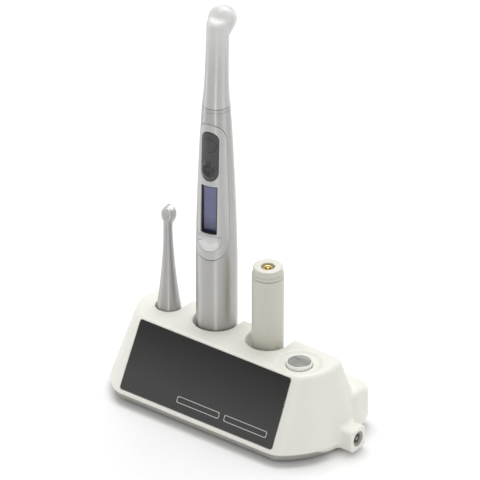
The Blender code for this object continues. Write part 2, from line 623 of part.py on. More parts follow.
def make_tip(prefix, radius, base_z, neck_z, head, plug_body, tip_body):
    """A light tip: a tapering stem with a round head across its top, on a plug that it turns about.

    radius is a function of height. head holds its drum's centre height, radius, front, back, downward tilt and dome,
    the height of the stem's end above the drum's centre, and how far the stem leans back.
    """
    end_z = head["z"] + head["end"]
    edge = 0.2 * head["radius"]
    stem_heights = [base_z + (end_z - edge - base_z) * i / 9 for i in range(10)]
    top_r = radius(neck_z)
    crown = [(0, end_z), (top_r - edge, end_z), (top_r - 0.3 * edge, end_z - 0.3 * edge)]
    outer = crown + [(radius(z), z) for z in reversed(stem_heights)]
    stem = mesh_object(f"{prefix}_stem", lean_back(turned(outer + [(0, base_z)], 20), head, base_z), "tip_plastic",
                       tip_body)

    r, front, back, dome = head["radius"], head["front"], head["back"], head["dome"]
    drum = [(0, front)]
    for angle in (0, 22, 45, 67, 90):
        turn = math.radians(angle)
        drum.append((r - dome + dome * math.sin(turn), front + dome - dome * math.cos(turn)))
    drum += [(r, back - 0.5), (r - 0.5, back), (0, back)]
    tilt = math.radians(head["tilt"])
    direction = (0, math.cos(tilt), -math.sin(tilt))
    place = (0, head["lean"], head["z"])
    join(stem, aimed(turned(drum, 20), direction, place))
    join(stem, lean_back(gusset(top_r, neck_z, head), head, base_z))
    bore_r, bore = head["bore_r"], head["bore"]
    cut(stem, aimed(solid_disc(bore_r, back - bore, back + 5, 20), direction, place))
    plug_r, plug_top = 5.0, base_z + 6.0
    cut(stem, solid_disc(plug_r + GAP, base_z - 5, plug_top + GAP, 20))
    core_r = head["core_r"]
    core_top = neck_z - 4.0
    cut(stem, solid_disc(core_r + GAP, base_z, core_top + GAP, 12))
    smooth(stem)

    plug_end = base_z - 12.0
    plug = [(0, plug_end), (2.6, plug_end), (3.2, plug_end + 0.6), (3.2, plug_end + 3), (plug_r, plug_end + 4),
            (plug_r, plug_top), (0, plug_top)]
    smooth(mesh_object(f"{prefix}_plug", turned(plug, 20), "steel", plug_body))
    core = solid_disc(core_r, plug_top + GAP, core_top, 12)
    smooth(mesh_object(f"{prefix}_heat_core", core, "steel", tip_body))
    lens_low = back - bore + 0.3
    board_top = lens_low + 0.8
    board = aimed(solid_disc(bore_r - GAP, lens_low, board_top, 20), direction, place)
    smooth(mesh_object(f"{prefix}_emitter", board, "circuit_board", tip_body))
    ring_r = bore_r - GAP
    ring = aimed(tube(ring_r - 0.7, ring_r, board_top + GAP, back - 0.1, 20), direction, place)
    smooth(mesh_object(f"{prefix}_lens_ring", ring, "white_plastic", tip_body))
    glass_r = ring_r - 0.7 - GAP
    glass = [(0, back - 0.1), (glass_r * 0.6, back - 0.3), (glass_r, back - 0.8), (glass_r, board_top + GAP),
             (0, board_top + GAP)]
    glass = aimed(turned(glass, 20), direction, place)
    smooth(mesh_object(f"{prefix}_lens", glass, "lens_glass", tip_body))


def fitted_tip_radius(z):
    return 7.0 + 1.8 * math.exp(-(z - TIP_Z) / 13.0)


def spare_tip_radius(z):
    """z counts from the deck up."""
    return min(8.1, 2.85 + 4.75 * max(0.0, 1 - z / 58.0) ** 1.8)


def make_battery(body):
    cap_z = BATTERY_LENGTH - BATTERY_CAP
    sleeve = [(BATTERY_R, cap_z - 0.2), (BATTERY_R, 1.0), (BATTERY_R - 1.0, 0.0), (8.9, 0.0), (8.9, 1.3), (4.3, 1.3),
              (4.3, 0.0), (3.2, 0.0), (3.2, 2.4), (CELL_R + GAP, 2.4), (CELL_R + GAP, cap_z - 0.2)]
    smooth(mesh_object("battery_sleeve", turned(sleeve, ring=True), "battery_plastic", body))
    foot = [(0, 2.4), (2.8, 2.4), (2.8, 1.2), (0, 1.2)]
    smooth(mesh_object("battery_foot_contact", turned(foot, SMALL_ROUND), "gold", body))
    cell = [(0, 2.8 + CELL_LENGTH), (CELL_R, 2.8 + CELL_LENGTH), (CELL_R, 2.8), (0, 2.8)]
    smooth(mesh_object("battery_cell", turned(cell, 28), "cell_wrap", body))
    recess_z = BATTERY_LENGTH - CONTACT_RECESS
    cap = [(CONTACT_RECESS_R, BATTERY_LENGTH), (BATTERY_NECK_R - 0.5, BATTERY_LENGTH),
           (BATTERY_NECK_R, BATTERY_LENGTH - 0.5), (BATTERY_NECK_R, BATTERY_LENGTH - BATTERY_NECK),
           (BATTERY_R, cap_z + 0.3), (BATTERY_R, cap_z + 0.1), (1.7, cap_z + 0.1), (1.7, recess_z),
           (CONTACT_RECESS_R, recess_z)]
    smooth(mesh_object("battery_cap", turned(cap, ring=True), "battery_plastic", body))
    disc = tube(1.7, CONTACT_RECESS_R - GAP, recess_z + GAP, recess_z + GAP + 0.6, 24)
    smooth(mesh_object("battery_contact_disc", disc, "gold", body))
    stud = [(0, recess_z + 1.7), (1.0, recess_z + 1.5), (1.3, recess_z + 1.1), (1.3, cap_z - 1.0), (0, cap_z - 1.0)]
    smooth(mesh_object("battery_contact_stud", turned(stud, 16), "gold", body))


def main():
    clear_scene()
    stand = empty("stand", (-FOOTPRINT_CENTRE[0], -FOOTPRINT_CENTRE[1], 0))
    make_housing(stand)
    make_cover(stand)
    panel = mesh_object("front_panel", panel_slab(0, 0.0, PANEL_THICK), "panel", stand)
    smooth(panel)
    make_meter(stand)
    make_jack(stand)
    make_charger(stand)

    seat = WELL_FLOOR_Z + GAP
    handpiece = empty("handpiece", (*HANDPIECE_AXIS, seat), HANDPIECE_FACING, stand)
    make_handpiece(handpiece)
    plug_axis = empty("fitted_tip_plug_axis", parent=handpiece)
    tip_axis = empty("fitted_tip_axis", parent=plug_axis)
    fitted_head = {"z": 235.3, "radius": 7.7, "front": -0.3, "back": 10.9, "tilt": 17.5, "dome": 6.0, "end": 0.2,
                   "lean": 2.8, "bore_r": 6.2, "bore": 5.0, "core_r": 3.2}
    make_tip("fitted_tip", fitted_tip_radius, TIP_Z, 229.5, fitted_head, plug_axis, tip_axis)

    spare_plug_axis = empty("spare_tip_plug_axis", (*TIP_WELL[:2], DECK_Z), 0, stand)
    spare_axis = empty("spare_tip_axis", parent=spare_plug_axis)
    spare_head = {"z": 66.0, "radius": 4.25, "front": -2.3, "back": 2.9, "tilt": 6.6, "dome": 1.6, "end": 0.5,
                  "lean": -0.4, "bore_r": 3.6, "bore": 2.6, "core_r": 1.4}
    make_tip("spare_tip", spare_tip_radius, TIP_SEAT_Z + GAP - DECK_Z, 61.5, spare_head, spare_plug_axis, spare_axis)

    battery = empty("battery", (*BATTERY_WELL[:2], seat), 0, stand)
    make_battery(battery)


main()
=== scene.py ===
"""Looks of a cordless dental curing light on its charging stand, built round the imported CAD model.

Shapes are written in millimetres and made into metres by mesh_piece(). Moulded pieces are signed
distance fields: functions of x, y and z that are negative inside the piece. A field's surface is meshed
on a fine grid, and its corners and its shading are then set from the field itself. Round pieces are
turned from a profile. The stand's frame has X = 0 at the middle of the front panel and Y = 0 at the
middle of the handpiece's well. The handpiece's frame stands at its lower end with its controls
towards -Y.
"""

import json
import math

import bmesh
import bpy
import numpy as np
import openvdb
from mathutils import Matrix, Vector


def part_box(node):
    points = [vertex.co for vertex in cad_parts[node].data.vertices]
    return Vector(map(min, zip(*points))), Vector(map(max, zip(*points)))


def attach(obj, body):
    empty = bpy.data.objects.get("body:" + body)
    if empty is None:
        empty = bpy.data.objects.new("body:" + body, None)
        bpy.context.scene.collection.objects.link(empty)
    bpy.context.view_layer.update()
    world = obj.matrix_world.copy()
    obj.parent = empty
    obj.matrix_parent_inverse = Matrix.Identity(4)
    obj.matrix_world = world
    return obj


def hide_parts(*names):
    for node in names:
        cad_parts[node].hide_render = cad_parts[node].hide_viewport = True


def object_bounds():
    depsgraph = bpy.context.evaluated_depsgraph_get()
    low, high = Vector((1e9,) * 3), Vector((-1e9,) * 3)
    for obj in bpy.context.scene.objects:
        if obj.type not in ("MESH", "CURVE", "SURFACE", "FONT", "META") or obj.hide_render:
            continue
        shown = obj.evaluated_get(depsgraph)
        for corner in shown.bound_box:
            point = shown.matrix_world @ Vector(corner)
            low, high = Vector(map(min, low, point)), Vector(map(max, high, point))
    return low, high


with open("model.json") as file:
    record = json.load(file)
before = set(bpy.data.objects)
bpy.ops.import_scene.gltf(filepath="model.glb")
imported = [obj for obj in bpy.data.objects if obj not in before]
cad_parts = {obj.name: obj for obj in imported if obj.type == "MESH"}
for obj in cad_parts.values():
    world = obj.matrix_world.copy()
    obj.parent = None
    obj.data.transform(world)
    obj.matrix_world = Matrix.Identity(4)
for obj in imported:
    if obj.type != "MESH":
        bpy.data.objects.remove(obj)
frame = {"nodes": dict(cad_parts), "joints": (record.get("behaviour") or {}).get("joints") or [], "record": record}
cad_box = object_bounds()

MM = 0.001
SIDES = 72  # of a turned piece


def middle(node):
    low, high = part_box(node)
    return (low + high) / 2 / MM


def top(node):
    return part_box(node)[1].z / MM


def bottom(node):
    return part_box(node)[0].z / MM


def joint(name):
    return next(j for j in frame["joints"] if j["name"] == name)


DECK_Z = 53.0

# Frames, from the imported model.
STAND_AT = Vector((middle("front_panel").x, middle("handpiece_charge_stud_1").y, 0))
STAND = Matrix.Translation(STAND_AT)
PRESS = joint("activation_press")["axis"]
FACING = math.atan2(-PRESS[0], PRESS[1])
HANDPIECE = (Matrix.Translation((middle("end_contact").x, middle("end_contact").y, bottom("end_cap")))
             @ Matrix.Rotation(FACING, 4, "Z"))
SPARE_TIP = Matrix.Translation((middle("spare_tip_plug").x, middle("spare_tip_plug").y, DECK_Z))
BATTERY = Matrix.Translation((middle("battery_cap").x, middle("battery_cap").y, bottom("battery_sleeve")))

# Stand, in its own frame. Pairs are at the deck and at the fold.
FOLD_Z, RIM_Z = 8.0, 2.0
UNDERCUT = 4.0
FRONT_Y = (-25.8, -49.0)
END_CENTRE_X = (46.0, 33.6)
END_CENTRE_Y = (-2.5, -3.9)
END_RADIUS = (27.5, 53.3)
REAR_Y = (10.0, 20.0)
LOBE_HALF = (81.6, 12.75)
LOBE_MIDDLE_Y = 16.75
LOBE_TOP_Z, LOBE_CORNER = 30.0, 9.0
WALL, HOLLOW_TOP_Z = 2.5, 24.8
WELL_FLOOR_Z, NOTCH_Z = 27.0, 34.5
TIP_WELL_R, TIP_WELL_FLOOR_Z = 8.6, 43.5
STUD_PITCH, STUD_HOLE_R = 6.6, 2.3
WELLS = ((middle("handpiece_charge_stud_1") - STAND_AT, 14.3),
         (middle("battery_locating_ring") - STAND_AT, 13.8))
TIP_WELL = middle("spare_tip_plug") - STAND_AT
METER = middle("meter_ring") - STAND_AT
METER_HOLE_R = 8.35
METER_SLOT_R, METER_SLOT_Z = 10.5, (48.8, 50.8)  # takes the flange of the meter's ring
JACK = middle("jack_shell") - STAND_AT
JACK_FACE_X = cad_box[1].x / MM - STAND_AT.x
DISH_DEPTH = 1.6  # of the round dish about the light meter
BOSS_HALF, BOSS_Z = (7.3, 7.5), 9.3  # the block round the power inlet
INLET_R = 4.9
SCREW_POST_R, SCREW_HOLE_R = 3.6, 1.4
PANEL_Z = (10.8, 51.3)
PANEL_HALF = (59.4, 58.6)
FRONT_SLOPE = math.atan2(FRONT_Y[0] - FRONT_Y[1], DECK_Z - FOLD_Z)
PANEL_FOOT_Y = FRONT_Y[0] + (FRONT_Y[1] - FRONT_Y[0]) * (DECK_Z - PANEL_Z[0]) / (DECK_Z - FOLD_Z)
PANEL_HEIGHT = (PANEL_Z[1] - PANEL_Z[0]) / math.cos(FRONT_SLOPE)

# Handpiece, in its own frame.
BARREL_R, TAPER_FROM, TAPER = 13.0, 72.0, (0.01755, 0.0002065)
BARREL_Z = (3.3, 176.6)
TRIM_Z = (176.63, 178.85)
SEAM_Z = 179.0
FASCIA = dict(low=75.0, high=168.9, half=None, low_round=14.8, high_round=11.6)
PAD = dict(low=130.2, high=163.5, half=6.2, low_round=6.1, high_round=6.1)
DISPLAY = dict(low=93.5, high=126.2, half=5.7, low_round=0.5, high_round=0.5)
THUMB = dict(low=81.2, high=92.0, half=8.6, low_round=8.0, high_round=0.7)
FACET_HALF, FACET_DROP = 8.8, 0.45
ACTIVATION = (154.6, 4.5)  # height, radius
MODE = (137.6, 4.0)
BUTTON_GAP = 0.03


# ---------------------------------------------------------------- meshes

def mesh_piece(name, points, faces, place=None):
    """A smooth-shaded object from points in millimetres."""
    mesh = bpy.data.meshes.new(name)
    points = np.asarray(points, float)
    if place is not None:
        turn, shift = np.array(place.to_3x3()), np.array(place.translation)
        points = points @ turn.T + shift
    mesh.from_pydata((points * MM).tolist(), [], [list(f) for f in faces])
    mesh.validate()
    mesh.shade_smooth()
    made = bpy.data.objects.new(name, mesh)
    bpy.context.scene.collection.objects.link(made)
    return made


def round_max(a, b, r):
    """Where two solids both are, with the edge between them rounded over r."""
    return np.minimum(-r, np.maximum(a, b)) + np.hypot(np.maximum(a + r, 0), np.maximum(b + r, 0))


def round_min(a, b, r):
    return -round_max(-a, -b, r)


def smooth_step(low, high, value):
    share = np.clip((value - low) / (high - low), 0, 1)
    return share * share * (3 - 2 * share)


def slope_of(field, points):
    """The field's value and its gradient at some points."""
    step = 0.02
    columns = points.T
    gradient = np.empty_like(points)
    for axis in range(3):
        ahead, behind = columns.copy(), columns.copy()
        ahead[axis] += step
        behind[axis] -= step
        gradient[:, axis] = (field(*ahead) - field(*behind)) / (2 * step)
    return field(*columns), gradient


def field_piece(name, field, low, high, cell, keep, place):
    """The surface where a field is zero. keep is the share of the grid's triangles that stay."""
    low, high = np.array(low, float), np.array(high, float)
    axes = [np.arange(l, h + cell, cell) for l, h in zip(low, high)]
    values = field(*np.meshgrid(*axes, indexing="ij")).astype(np.float32)
    grid = openvdb.FloatGrid(1000.0)
    grid.copyFromArray(values)
    points, quads = grid.convertToQuads(0.0)
    made = mesh_piece(name, points * cell + low, quads)
    thin = made.modifiers.new("thin", "DECIMATE")
    thin.ratio = keep
    bpy.context.view_layer.update()
    thinned = bpy.data.meshes.new_from_object(made.evaluated_get(bpy.context.evaluated_depsgraph_get()))
    made.modifiers.clear()
    made.data = thinned
    count = len(thinned.vertices)
    corners = np.empty(count * 3, np.float32)
    thinned.vertices.foreach_get("co", corners)
    points = corners.reshape(-1, 3).astype(float) / MM
    for _ in range(3):
        value, gradient = slope_of(field, points)
        square = np.maximum((gradient**2).sum(1), 0.05)
        step = (value / square)[:, None] * gradient
        length = np.linalg.norm(step, axis=1, keepdims=True)
        points -= step * np.minimum(1, 0.5 * cell / np.maximum(length, 1e-9))
    _, gradient = slope_of(field, points)
    normals = gradient / np.maximum(np.linalg.norm(gradient, axis=1, keepdims=True), 1e-9)
    turn, shift = np.array(place.to_3x3()), np.array(place.translation)
    points = (points @ turn.T + shift) * MM
    thinned.vertices.foreach_set("co", points.astype(np.float32).ravel())
    thinned.shade_smooth()
    thinned.update()
    thinned.normals_split_custom_set_from_vertices((normals @ turn.T).tolist())
    return made


def eased(profile, reach, ring):
    """A profile with each corner turned into a small curve that starts reach before it."""
    points = [Vector(p) for p in profile]
    out = []
    for i, corner in enumerate(points):
        if not ring and i in (0, len(points) - 1):
            out.append(corner)
            continue
        legs = [points[i - 1] - corner, points[(i + 1) % len(points)] - corner]
        legs = [leg.normalized() * min(reach, leg.length * 0.45) for leg in legs]
        out += [corner + legs[0] * (1 - t) ** 2 + legs[1] * t**2 for t in (0, 1 / 3, 2 / 3, 1)]
    return out


def turned(name, profile, place, reach=0.25, ring=False, sides=SIDES):
    """A piece turned about the Z axis of its frame from (radius, height) pairs."""
    points, rows, faces = [], [], []
    for radius, height in eased(profile, reach, ring):
        count = 1 if radius < 1e-6 else sides
        rows.append(range(len(points), len(points) + count))
        angles = [2 * math.pi * i / sides for i in range(count)]
        points += [(radius * math.cos(a), radius * math.sin(a), height) for a in angles]
    for first, second in list(zip(rows, rows[1:])) + ([(rows[-1], rows[0])] if ring else []):
        for i in range(sides):
            j = (i + 1) % sides
            corners = [first[i % len(first)], first[j % len(first)]]
            corners += [second[j % len(second)], second[i % len(second)]]
            faces.append(list(dict.fromkeys(corners)))
    made = mesh_piece(name, points, faces, place)
    work = bmesh.new()
    work.from_mesh(made.data)
    bmesh.ops.recalc_face_normals(work, faces=work.faces)
    work.to_mesh(made.data)
    work.free()
    made.modifiers.new("weighted", "WEIGHTED_NORMAL").keep_sharp = True
    return made


def aimed(place, at, direction):
    """The frame at a point of another frame, with its Z axis along a direction."""
    turn = Vector(direction).to_track_quat("Z", "Y").to_matrix().to_4x4()
    return place @ Matrix.Translation(Vector(at)) @ turn


def slab(name, outline, low, high, reach, place):
    """A plate from a convex outline in its frame's XY plane, with its edges eased."""
    outline = [Vector(p) for p in outline]
    count = len(outline)
    inward = []
    for i, p in enumerate(outline):
        along = (outline[(i + 1) % count] - outline[i - 1]).normalized()
        inward.append(Vector((-along.y, along.x)))
    levels = [(low, reach), (low + reach * 0.3, reach * 0.3), (low + reach, 0), (high - reach, 0),
              (high - reach * 0.3, reach * 0.3), (high, reach)]
    points = [(*(p + n * inset), z) for z, inset in levels for p, n in zip(outline, inward)]
    faces = [list(reversed(range(count))), list(range(len(points) - count, len(points)))]
    for row in range(len(levels) - 1):
        for i in range(count):
            j = (i + 1) % count
            faces.append([row * count + i, row * count + j, (row + 1) * count + j, (row + 1) * count + i])
    made = mesh_piece(name, points, faces, place)
    made.modifiers.new("weighted", "WEIGHTED_NORMAL").keep_sharp = True
    return made


def corner_arc(centre, radius, start, steps=8):
    angles = [math.radians(start + 90 * i / steps) for i in range(steps + 1)]
    return [(centre[0] + radius * math.cos(a), centre[1] + radius * math.sin(a)) for a in angles]


# ---------------------------------------------------------------- materials

class Look:
    """One procedural material, built round its Principled shader."""

    def __init__(self, name, colour, roughness, metallic=0.0, coat=0.0, coat_roughness=0.1):
        self.made = bpy.data.materials.new(name)
        self.made.use_nodes = True
        self.tree = self.made.node_tree
        self.shader = self.tree.nodes["Principled BSDF"]
        self.name, self.colour, self.roughness = name, colour, roughness
        self.set("Base Color", (*colour, 1))
        self.set("Roughness", roughness)
        self.set("Metallic", metallic)
        self.set("Coat Weight", coat)
        self.set("Coat Roughness", coat_roughness)
        self.where = self.tree.nodes.new("ShaderNodeTexCoord").outputs["Object"]
        self.hue = None

    def set(self, socket, value):
        self.shader.inputs[socket].default_value = value

    def link(self, start, end):
        self.tree.links.new(start, end)

    def noise(self, scale, detail=3.0, stretch=(1, 1, 1)):
        """Noise from 0 to 1, scale cells to the metre."""
        mapping = self.tree.nodes.new("ShaderNodeMapping")
        mapping.inputs["Scale"].default_value = stretch
        self.link(self.where, mapping.inputs["Vector"])
        made = self.tree.nodes.new("ShaderNodeTexNoise")
        made.inputs["Scale"].default_value = scale
        made.inputs["Detail"].default_value = detail
        self.link(mapping.outputs["Vector"], made.inputs["Vector"])
        return made.outputs["Fac"]

    def ranged(self, value, low, high, start=0.3, end=0.7):
        made = self.tree.nodes.new("ShaderNodeMapRange")
        for socket, number in (("From Min", start), ("From Max", end), ("To Min", low), ("To Max", high)):
            made.inputs[socket].default_value = number
        self.link(value, made.inputs["Value"])
        return made.outputs["Result"]

    def tint(self, factor, colour):
        """Mixes a colour over what is there, by a factor from 0 to 1."""
        mix = self.tree.nodes.new("ShaderNodeMix")
        mix.data_type = "RGBA"
        self.link(factor, mix.inputs["Factor"])
        if self.hue is None:
            mix.inputs["A"].default_value = (*self.colour, 1)
        else:
            self.link(self.hue, mix.inputs["A"])
        mix.inputs["B"].default_value = (*colour, 1)
        self.hue = mix.outputs["Result"]
        self.link(self.hue, self.shader.inputs["Base Color"])
        return self

    def mottled(self, scale, amount, stretch=(1, 1, 1)):
        """Slow colour variation, towards a slightly darker shade."""
        darker = tuple(c * (1 - amount) for c in self.colour)
        return self.tint(self.ranged(self.noise(scale, 4.0, stretch), 0.0, 1.0), darker)

    def speckled(self, scale, amount):
        lighter = tuple(min(1.0, c * (1 + amount)) for c in self.colour)
        return self.tint(self.ranged(self.noise(scale, 1.0), 0.0, 1.0, 0.52, 0.72), lighter)

    def uneven(self, scale, spread, stretch=(1, 1, 1)):
        """Roughness that varies by spread either way."""
        low, high = max(0.02, self.roughness - spread), self.roughness + spread
        self.link(self.ranged(self.noise(scale, 2.0, stretch), low, high), self.shader.inputs["Roughness"])
        return self

    def grain(self, scale, depth_mm, stretch=(1, 1, 1)):
        bump = self.tree.nodes.new("ShaderNodeBump")
        bump.inputs["Strength"].default_value = 1.0
        bump.inputs["Distance"].default_value = depth_mm * MM
        self.link(self.noise(scale, 2.0, stretch), bump.inputs["Height"])
        self.link(bump.outputs["Normal"], self.shader.inputs["Normal"])
        return self

    def streaked(self, amount):
        """Highlights drawn out along the piece's upright axis, as on a turned and brushed surface."""
        round_axis = self.tree.nodes.new("ShaderNodeTangent")
        round_axis.direction_type, round_axis.axis = "RADIAL", "Z"
        self.link(round_axis.outputs["Tangent"], self.shader.inputs["Tangent"])
        self.set("Anisotropic", amount)
        self.set("Anisotropic Rotation", 0.25)
        return self

    def worn(self, colour):
        """Rubbed edges, where the mesh is sharply convex."""
        edge = self.tree.nodes.new("ShaderNodeNewGeometry").outputs["Pointiness"]
        return self.tint(self.ranged(edge, 0.0, 0.5, 0.53, 0.62), colour)

    def by_height(self, start_mm, end_mm, start, end):
        """A value that goes from start to end between two heights, as the pieces stand at rest."""
        split = self.tree.nodes.new("ShaderNodeSeparateXYZ")
        self.link(self.where, split.inputs["Vector"])
        return self.ranged(split.outputs["Z"], start, end, start_mm * MM, end_mm * MM)

    def rising(self, start_mm, end_mm, colour):
        """A tint that grows between two heights, upwards or downwards."""
        return self.tint(self.by_height(start_mm, end_mm, 0.0, 1.0), colour)

    def painted_undercut_shade(self, start_mm, full_mm, end_mm, colour):
        """Painted shade under a height, standing in for the shadowed undercut below the fold, up to a place along
        X, which leaves out the power inlet's boss.
        """
        split = self.tree.nodes.new("ShaderNodeSeparateXYZ")
        self.link(self.where, split.inputs["Vector"])
        along = self.ranged(split.outputs["X"], 0.0, 1.0, (end_mm + 1) * MM, (end_mm - 1) * MM)
        both = self.tree.nodes.new("ShaderNodeMath")
        both.operation = "MULTIPLY"
        self.link(self.by_height(start_mm, full_mm, 0.0, 1.0), both.inputs[0])
        self.link(along, both.inputs[1])
        return self.tint(both.outputs["Value"], colour)

    def dulled(self, start_mm, end_mm, metallic):
        """Less like metal with height."""
        start = self.shader.inputs["Metallic"].default_value
        self.link(self.by_height(start_mm, end_mm, start, metallic), self.shader.inputs["Metallic"])
        return self


def make_looks():
    upright = (1, 1, 0.2)  # stretches a noise along Z
    looks = [
        # The darker band below the fold is painted shade, standing in for the shadowed undercut.
        Look("shell_plastic", (0.83, 0.82, 0.755), 0.40, coat=0.12, coat_roughness=0.25)
        .mottled(45, 0.025).speckled(900, 0.015).painted_undercut_shade(8.4, 7.2, 77.5, (0.34, 0.33, 0.30))
        .uneven(300, 0.05).grain(2600, 0.010),
        # The panel grows lighter towards its foot: a painted reflection gradient.
        Look("panel", (0.010, 0.0095, 0.009), 0.34, coat=0.1, coat_roughness=0.25)
        .mottled(60, 0.05).rising(50, 20, (0.050, 0.048, 0.047)).uneven(160, 0.02).grain(3800, 0.003),
        Look("silver_paint", (0.53, 0.525, 0.51), 0.38, 0.8)
        .streaked(0.9).speckled(9000, 0.06).mottled(70, 0.04, (1, 1, 0.12)).uneven(500, 0.03, upright)
        .grain(5200, 0.002),
        Look("fascia_paint", (0.56, 0.56, 0.55), 0.40, 0.5)
        .streaked(0.8).speckled(9000, 0.05).mottled(80, 0.03).uneven(500, 0.03).grain(5200, 0.002),
        # The scoop darkens towards its top: painted shade, standing in for the shadow in its concave upper part.
        Look("scoop_paint", (0.86, 0.86, 0.85), 0.4, 0.2)
        .speckled(9000, 0.03).mottled(80, 0.02).rising(112, 119, (0.5, 0.5, 0.5)).uneven(500, 0.03)
        .grain(5200, 0.002),
        Look("tip_plastic", (0.60, 0.60, 0.585), 0.42, 0.5)
        .streaked(0.85).dulled(226, 250, 0.1).speckled(8000, 0.04).mottled(60, 0.03, (1, 1, 0.15))
        .rising(234, 254, (0.68, 0.68, 0.67)).uneven(400, 0.04, upright).grain(5200, 0.002),
        Look("spare_plastic", (0.50, 0.495, 0.485), 0.38, 0.7)
        .streaked(0.9).speckled(8000, 0.05).mottled(60, 0.04, (1, 1, 0.15))
        .rising(112, 122, (0.60, 0.60, 0.59)).uneven(400, 0.04, upright).grain(5200, 0.002),
        Look("battery_plastic", (0.62, 0.61, 0.53), 0.42, coat=0.15, coat_roughness=0.3)
        .mottled(140, 0.05, (1, 1, 0.05)).speckled(1200, 0.03).uneven(260, 0.05, upright)
        .grain(1500, 0.006, (1, 1, 0.1)),
        Look("battery_top", (0.80, 0.79, 0.72), 0.40, coat=0.2, coat_roughness=0.25)
        .mottled(120, 0.04).speckled(1200, 0.03).uneven(300, 0.05).grain(2600, 0.006),
        Look("dark_rubber", (0.056, 0.056, 0.057), 0.38, coat=0.1, coat_roughness=0.3)
        .mottled(120, 0.10).speckled(2600, 0.12).uneven(400, 0.06).grain(5000, 0.006),
        Look("white_plastic", (0.86, 0.86, 0.84), 0.28, coat=0.3, coat_roughness=0.12)
        .mottled(90, 0.02).speckled(1500, 0.01).uneven(300, 0.04).grain(2400, 0.003),
        Look("print_white", (0.62, 0.61, 0.60), 0.5).mottled(400, 0.12).uneven(600, 0.06).grain(7000, 0.003),
        Look("grey_glass", (0.44, 0.45, 0.41), 0.12, coat=0.6, coat_roughness=0.05)
        .mottled(170, 0.6, (0.4, 1.8, 1)).uneven(500, 0.04).grain(900, 0.01, (0.5, 1.5, 1)),
        Look("display_glass", (0.135, 0.14, 0.27), 0.16, coat=0.4, coat_roughness=0.06)
        .mottled(160, 0.12).rising(132, 122, (0.05, 0.055, 0.12)).uneven(700, 0.04).grain(6000, 0.002),
        Look("display_wall", (0.028, 0.022, 0.036), 0.3, coat=0.3)
        .mottled(300, 0.2).uneven(700, 0.06).grain(5200, 0.003),
        Look("inlet_plastic", (0.34, 0.335, 0.305), 0.4, 0.2)
        .mottled(500, 0.15).worn((0.4, 0.4, 0.37)).uneven(600, 0.06).grain(4200, 0.006),
        Look("gold", (0.83, 0.62, 0.26), 0.22, 1.0)
        .mottled(600, 0.12).worn((0.95, 0.8, 0.5)).uneven(1500, 0.07).grain(5200, 0.004),
        Look("steel", (0.55, 0.55, 0.56), 0.28, 1.0)
        .mottled(500, 0.10).worn((0.75, 0.75, 0.76)).uneven(1600, 0.08, (1, 1, 0.1))
        .grain(3000, 0.003, (1, 1, 0.1)),
        Look("circuit_board", (0.025, 0.16, 0.06), 0.42, coat=0.3)
        .speckled(260, 0.8).mottled(900, 0.2).uneven(700, 0.06).grain(1500, 0.02),
        Look("cell_wrap", (0.09, 0.20, 0.42), 0.35, coat=0.4)
        .mottled(160, 0.12).uneven(400, 0.06).grain(900, 0.02, (1, 1, 0.3)),
        Look("lens_glass", (0.74, 0.77, 0.80), 0.06, coat=0.7, coat_roughness=0.03)
        .mottled(300, 0.10).uneven(900, 0.03).grain(800, 0.004),
    ]
    return {look.name: look.made for look in looks}


LOOKS = make_looks()


def piece(made, body, slot, *nodes, look=None):
    """Puts a piece on its CAD body with its finish, in place of the CAD nodes that it stands for."""
    made.data.materials.clear()
    made.data.materials.append(LOOKS[look or slot])
    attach(made, body)
    if nodes:
        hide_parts(*nodes)
    return made


# ---------------------------------------------------------------- stand

def mix(pair, share):
    return pair[0] + (pair[1] - pair[0]) * share


def box_field(a, b, half_a, half_b, r):
    """Distance from a rectangle with round corners."""
    qa, qb = np.abs(a) - (half_a - r), np.abs(b) - (half_b - r)
    return np.hypot(np.maximum(qa, 0), np.maximum(qb, 0)) + np.minimum(np.maximum(qa, qb), 0) - r


def outline_field(x, y, share):
    """Distance from the stand's outline: straight in front and behind, round at both ends."""
    ends = np.hypot(np.maximum(np.abs(x) - mix(END_CENTRE_X, share), 0), y - mix(END_CENTRE_Y, share))
    shape = round_max(ends - mix(END_RADIUS, share), mix(FRONT_Y, share) - y, 3.0)
    return round_max(shape, y - mix(REAR_Y, share), 4.0)


def folded(side, under_side, z):
    """A leaning side that turns in below the fold. 0.83 makes up for the lean of the part below."""
    under = (under_side + (FOLD_Z - z) * UNDERCUT / (FOLD_Z - RIM_Z)) * 0.83
    return round_max(side, under, 0.55)


def moulding_field(x, y, z):
    """The housing's outer form, open-ended below."""
    share = np.clip((DECK_Z - z) / (DECK_Z - FOLD_Z), 0, 1)
    body = folded(outline_field(x, y, share) * 0.9, outline_field(x, y, np.ones_like(z)), z)
    edge = 1.5 + 1.2 * smooth_step(50, 70, np.abs(x))
    dish = DISH_DEPTH * (1 - smooth_step(11.8, 15.5, np.hypot(x - METER.x, y - METER.y)))
    body = round_max(body, z - DECK_Z + dish, edge)
    side = box_field(x, y - LOBE_MIDDLE_Y, *LOBE_HALF, LOBE_CORNER)
    lobe = round_max(folded(side, side, z), z - LOBE_TOP_Z, 4.5)
    shape = round_min(body, lobe, np.interp(z, (FOLD_Z, LOBE_TOP_Z), (6.0, 1.2)))
    boss = round_max(box_field(y - JACK.y, z - BOSS_Z, *BOSS_HALF, 3.2), x - JACK_FACE_X, 0.8)
    boss = np.maximum(boss, 60 - x)
    return round_min(shape, boss, 2.4)


def well_field(x, y, z, at, radius, floor, notch_z):
    """A round well, open at the back above notch_z."""
    dx, dy = x - at.x, y - at.y
    hole = np.maximum(np.hypot(dx, dy) - radius, floor - z)
    notch = np.maximum(np.hypot(dx, np.minimum(dy, 0)) - radius, notch_z - z)
    return np.minimum(hole, notch)


